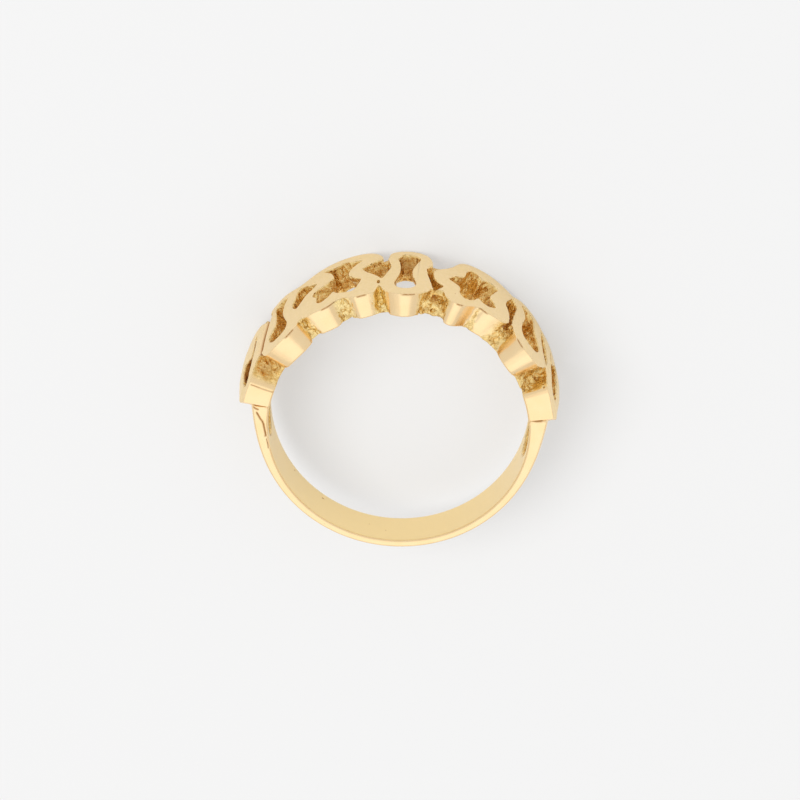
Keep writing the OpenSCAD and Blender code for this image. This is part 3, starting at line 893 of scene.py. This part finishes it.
class Nodes:
    """Short ways to add and join shader nodes"""

    def __init__(self, owner):
        owner.use_nodes = True
        self.tree = owner.node_tree
        self.tree.nodes.clear()

    def add(self, kind, inputs=None, **settings):
        """A node, with its inputs set to values or joined to other nodes' outputs"""
        node = self.tree.nodes.new(kind)
        for key, value in settings.items():
            setattr(node, key, value)
        for key, value in (inputs or {}).items():
            if isinstance(value, bpy.types.NodeSocket):
                self.tree.links.new(value, node.inputs[key])
            else:
                node.inputs[key].default_value = value
        return node

    def math(self, operation, a, b=0.0):
        node = self.add("ShaderNodeMath", {0: a, 1: b}, operation=operation)
        return node.outputs[0]

    def plus(self, a, b):
        return self.math("ADD", a, b)

    def times(self, a, b):
        return self.math("MULTIPLY", a, b)

    def ramp(self, value, low, high, to_low=0.0, to_high=1.0):
        node = self.add("ShaderNodeMapRange", {
            "Value": value, "From Min": low, "From Max": high, "To Min": to_low,
            "To Max": to_high}, interpolation_type="SMOOTHSTEP")
        return node.outputs["Result"]

    def mix(self, share, a, b):
        node = self.add("ShaderNodeMix", {0: share, 6: a, 7: b}, data_type="RGBA")
        return node.outputs[2]

    def noise(self, place, scale, detail, roughness=0.5):
        node = self.add("ShaderNodeTexNoise", {
            "Vector": place, "Scale": scale, "Detail": detail, "Roughness": roughness})
        return node.outputs["Fac"]

    def value(self, name):
        return self.add("ShaderNodeAttribute", attribute_name=name).outputs["Fac"]


# Colours of the gold: polished, satin, at the finger, rough in gaps and in windows, then the
# dark patches painted as shade deep in windows, gaps and hollows, the painted shade in
# crinkles of rough skin, and the painted shade in pits, pocks, furrows, lines and recesses
POLISHED = (1.0, 0.735, 0.405, 1)
POLISHED_PALE = (1.0, 0.76, 0.44, 1)
SATIN = (0.98, 0.77, 0.455, 1)
SATIN_DEEP = (0.95, 0.75, 0.41, 1)
INNER = (1.0, 0.775, 0.39, 1)
GAP = (1.0, 0.8, 0.37, 1)
CAST = (1.0, 0.73, 0.31, 1)
CAST_SHADE = (0.76, 0.45, 0.125, 1)
CREASE_SHADE = (0.53, 0.3, 0.075, 1)
PAINTED_SHADE = (0.43, 0.17, 0.03, 1)

# Where satin starts and the side at the finger ends: distance from the finger's axis, and
# where a side faces, from -1 inwards to 1 outwards
SATIN_R = (FINGER_R + 1.25, FINGER_R + 1.4)
SATIN_FACING = (0.8, 0.93)
INNER_R = (FINGER_R + 0.3, FINGER_R + 0.1)
INNER_FACING = (-0.8, -0.93)

# Noises in the gold: how many to the mm, how much detail, how rough
CLOUD_NOISE = (0.9, 3)
MOTTLE_NOISE = (5, 4, 0.6)
PATCH_NOISE = (3, 3, 0.55)
GRAIN_NOISE = (26, 3, 0.6)
CREASE_NOISE = (4.2, 2, 0.5)
SWELL_NOISE = (1.3, 2)
LUMP_NOISE = (5.5, 3, 0.55)
STREAK_NOISE = (1, 3)
STREAK_STRETCH = (9, 9, 60)

# Values of a noise, or of the stored painted shade, over which its colour comes in
NOISE_SPAN = (0.3, 0.7)
PATCH_SPAN = (0.36, 0.64)
CREASE_SPAN = (0.48, 0.38)
SHADE_SPAN = (0.25, 0.9)

# How much of their colour gaps, the painted shade deep in windows and the painted shade in
# crinkles show at most
GAP_SHARE = 0.85
CAST_SHARE = 0.95
CREASE_SHARE = (0.3, 1, 0.55, 0.2)  # less of it in windows

# Roughness: of polished gold, what satin and the side at the finger add, and the least that
# rough skin and places of painted shade have
POLISHED_ROUGH = (0.22, 0.27)
SATIN_ROUGH = (0.2, 0.28)
INNER_ROUGH = 0.08
CAST_ROUGH = (0.14, 0.3)
SHADE_ROUGH = 0.55

# Heights of the bump: swells everywhere, grain and streaks on satin, lumps on rough skin
SWELL_HEIGHT = 0.022
GRAIN_HEIGHT = 0.0016
STREAK_HEIGHT = 0.0010
LUMP_HEIGHT = 0.11


def gold_material():
    """Polished gold with a satin face, darker where the mesh stores rough skin or painted shade"""
    material = bpy.data.materials.new("gold")
    n = Nodes(material)
    where = n.add("ShaderNodeTexCoord")
    place = n.add("ShaderNodeVectorMath", {0: where.outputs["Object"], "Scale": 1 / MM},
                  operation="SCALE").outputs[0]
    xyz = n.add("ShaderNodeSeparateXYZ", {0: place}).outputs
    radius = n.math("SQRT", n.plus(n.times(xyz[0], xyz[0]), n.times(xyz[1], xyz[1])))
    across = n.add("ShaderNodeCombineXYZ", {0: xyz[0], 1: xyz[1]}).outputs[0]
    outward = n.add("ShaderNodeVectorMath", {0: across}, operation="NORMALIZE").outputs[0]
    facing = n.add("ShaderNodeVectorMath", {0: where.outputs["Normal"], 1: outward},
                   operation="DOT_PRODUCT").outputs["Value"]
    satin = n.times(n.ramp(facing, *SATIN_FACING), n.ramp(radius, *SATIN_R))
    inner = n.times(n.ramp(facing, *INNER_FACING), n.ramp(radius, *INNER_R))
    cast = n.value("cast_skin")
    shade_tint = n.value("cast_tint")
    stain = n.value("stain")

    cloud = n.noise(place, *CLOUD_NOISE)
    mottle = n.noise(place, *MOTTLE_NOISE)
    patches = n.noise(place, *PATCH_NOISE)
    grain = n.noise(place, *GRAIN_NOISE)
    stretched = n.add("ShaderNodeMapping", {"Vector": place, "Scale": STREAK_STRETCH}).outputs[0]
    streaks = n.noise(stretched, *STREAK_NOISE)

    color = n.mix(n.ramp(cloud, *NOISE_SPAN), POLISHED, POLISHED_PALE)
    satin_color = n.mix(n.ramp(mottle, *NOISE_SPAN), SATIN, SATIN_DEEP)
    color = n.mix(satin, color, satin_color)
    color = n.mix(inner, color, INNER)
    color = n.mix(n.times(cast, GAP_SHARE), color, GAP)
    # Deep in windows, gaps and hollows the colour turns to dark patches of painted shade
    cast_color = n.mix(n.ramp(patches, *PATCH_SPAN), CAST_SHADE, CAST)
    color = n.mix(n.times(shade_tint, CAST_SHARE), color, cast_color)
    # Dark crinkles on rough skin are painted shade
    crease_shade = n.times(cast, n.ramp(n.noise(place, *CREASE_NOISE), *CREASE_SPAN))
    crease_shade = n.times(crease_shade, n.ramp(shade_tint, *CREASE_SHARE))
    color = n.mix(crease_shade, color, CREASE_SHADE)
    # Painted shade in pits, pocks, furrows, pressed lines, under the near rim and in recesses
    color = n.mix(n.ramp(stain, *SHADE_SPAN), color, PAINTED_SHADE)

    rough = n.ramp(grain, *NOISE_SPAN, *POLISHED_ROUGH)
    satin_rough = n.ramp(mottle, *NOISE_SPAN, *SATIN_ROUGH)
    rough = n.plus(rough, n.times(satin, satin_rough))
    rough = n.plus(rough, n.times(inner, INNER_ROUGH))
    cast_rough = n.ramp(mottle, *NOISE_SPAN, *CAST_ROUGH)
    rough = n.math("MAXIMUM", rough, n.times(cast, cast_rough))
    rough = n.math("MAXIMUM", rough, n.times(stain, SHADE_ROUGH))

    height = n.times(n.noise(place, *SWELL_NOISE), SWELL_HEIGHT)
    for noise, skin, high in ((grain, satin, GRAIN_HEIGHT), (streaks, satin, STREAK_HEIGHT),
                              (n.noise(place, *LUMP_NOISE), cast, LUMP_HEIGHT)):
        height = n.plus(height, n.times(n.times(noise, skin), high))
    bump = n.add("ShaderNodeBump", {"Height": height, "Strength": 1.0, "Distance": MM})

    shader = n.add("ShaderNodeBsdfPrincipled", {
        "Base Color": color, "Metallic": 1.0, "Roughness": rough, "Normal": bump.outputs[0]})
    n.add("ShaderNodeOutputMaterial", {"Surface": shader.outputs[0]})
    return material


ring.data.materials.append(gold_material())


# Camera: how far it is from the finger hole's middle and how it is turned
CAMERA_AWAY = 400 * MM
CAMERA_LEAN = math.radians(26.31)
CAMERA_ROLL = math.radians(3.96)
CAMERA_CLIP = (10 * MM, 4)
SENSOR_WIDTH = 36
PIXELS = 800
PIXELS_PER_MM = 15.3
RING_AT = (399.34, 413.31)  # pixel of the finger hole's middle in the photograph's frame


def add_camera():
    data = bpy.data.cameras.new("camera")
    data.sensor_width = SENSOR_WIDTH
    data.lens = SENSOR_WIDTH * PIXELS_PER_MM * CAMERA_AWAY / MM / PIXELS
    data.clip_start, data.clip_end = CAMERA_CLIP
    data.shift_x = (PIXELS / 2 - RING_AT[0]) / PIXELS
    data.shift_y = (RING_AT[1] - PIXELS / 2) / PIXELS
    camera = add_object("camera", data)
    back = Vector((0, math.sin(CAMERA_LEAN), math.cos(CAMERA_LEAN)))
    right = Vector((1, 0, 0))
    up = back.cross(right)
    turn = Matrix((right, up, back)).transposed().to_4x4()
    camera.matrix_world = (Matrix.Translation(back * CAMERA_AWAY) @ turn
                           @ Matrix.Rotation(CAMERA_ROLL, 4, "Z"))
    bpy.context.scene.camera = camera


# The floor glows a little, which keeps the shadow on it pale
FLOOR_COLOR = (0.349, 0.346, 0.342, 1)
FLOOR_GLOW = (0.426, 0.43, 0.435, 1)
FLOOR_ROUGH = 0.9
FLOOR_SHINE = 0.2
FLOOR_SIZE = 1.2


def add_floor():
    low = min(v.co.z for v in ring.data.vertices)
    half = FLOOR_SIZE / 2
    corners = [(-half, -half, low), (half, -half, low), (half, half, low), (-half, half, low)]
    floor = add_object("floor", make_mesh("floor", np.array(corners), np.array([(0, 1, 2, 3)])))
    material = bpy.data.materials.new("floor")
    n = Nodes(material)
    shader = n.add("ShaderNodeBsdfPrincipled", {
        "Base Color": FLOOR_COLOR, "Roughness": FLOOR_ROUGH, "Specular IOR Level": FLOOR_SHINE,
        "Emission Color": FLOOR_GLOW, "Emission Strength": 1.0})
    n.add("ShaderNodeOutputMaterial", {"Surface": shader.outputs[0]})
    floor.data.materials.append(material)


# Lights: name, direction from the ring, distance, width, brightness of its face. The gold
# doesn't mirror the key light. The others add up to one that is brightest in its middle.
LIGHTS = [
    ("key", (-0.5, 0.2, 0.84), 1.5, 1.09, 5.1),
    ("overhead_wide", (0.03, -0.46, 0.9), 1.24, 2.2, 0.11),
    ("overhead", (0.03, -0.46, 0.9), 1.22, 1.65, 0.12),
    ("overhead_middle", (0.03, -0.46, 0.9), 1.2, 1.1, 0.12),
]
WORLD_LOW = (0.78, 0.78, 0.78, 1)
WORLD_HIGH = (0.80, 0.80, 0.80, 1)
WORLD_RISE = (0.0, 0.7)     # heights between which the sky turns from low to high


def add_lights():
    for name, toward, away, width, bright in LIGHTS:
        data = bpy.data.lights.new(name, "AREA")
        data.shape = "DISK"
        data.size = width
        data.energy = bright * math.pi ** 2 * (width / 2) ** 2
        light = add_object(name, data)
        light.visible_glossy = name != "key"
        back = Vector(toward).normalized()
        light.location = back * away
        light.rotation_euler = back.to_track_quat("Z", "Y").to_euler()
    world = bpy.data.worlds.new("studio")
    bpy.context.scene.world = world
    n = Nodes(world)
    where = n.add("ShaderNodeTexCoord")
    up = n.add("ShaderNodeSeparateXYZ", {0: where.outputs["Generated"]}).outputs[2]
    color = n.mix(n.ramp(up, *WORLD_RISE), WORLD_LOW, WORLD_HIGH)
    background = n.add("ShaderNodeBackground", {"Color": color, "Strength": 1.0})
    n.add("ShaderNodeOutputWorld", {"Surface": background.outputs[0]})


add_camera()
add_floor()
add_lights()
bpy.context.scene.view_settings.view_transform = "Standard"
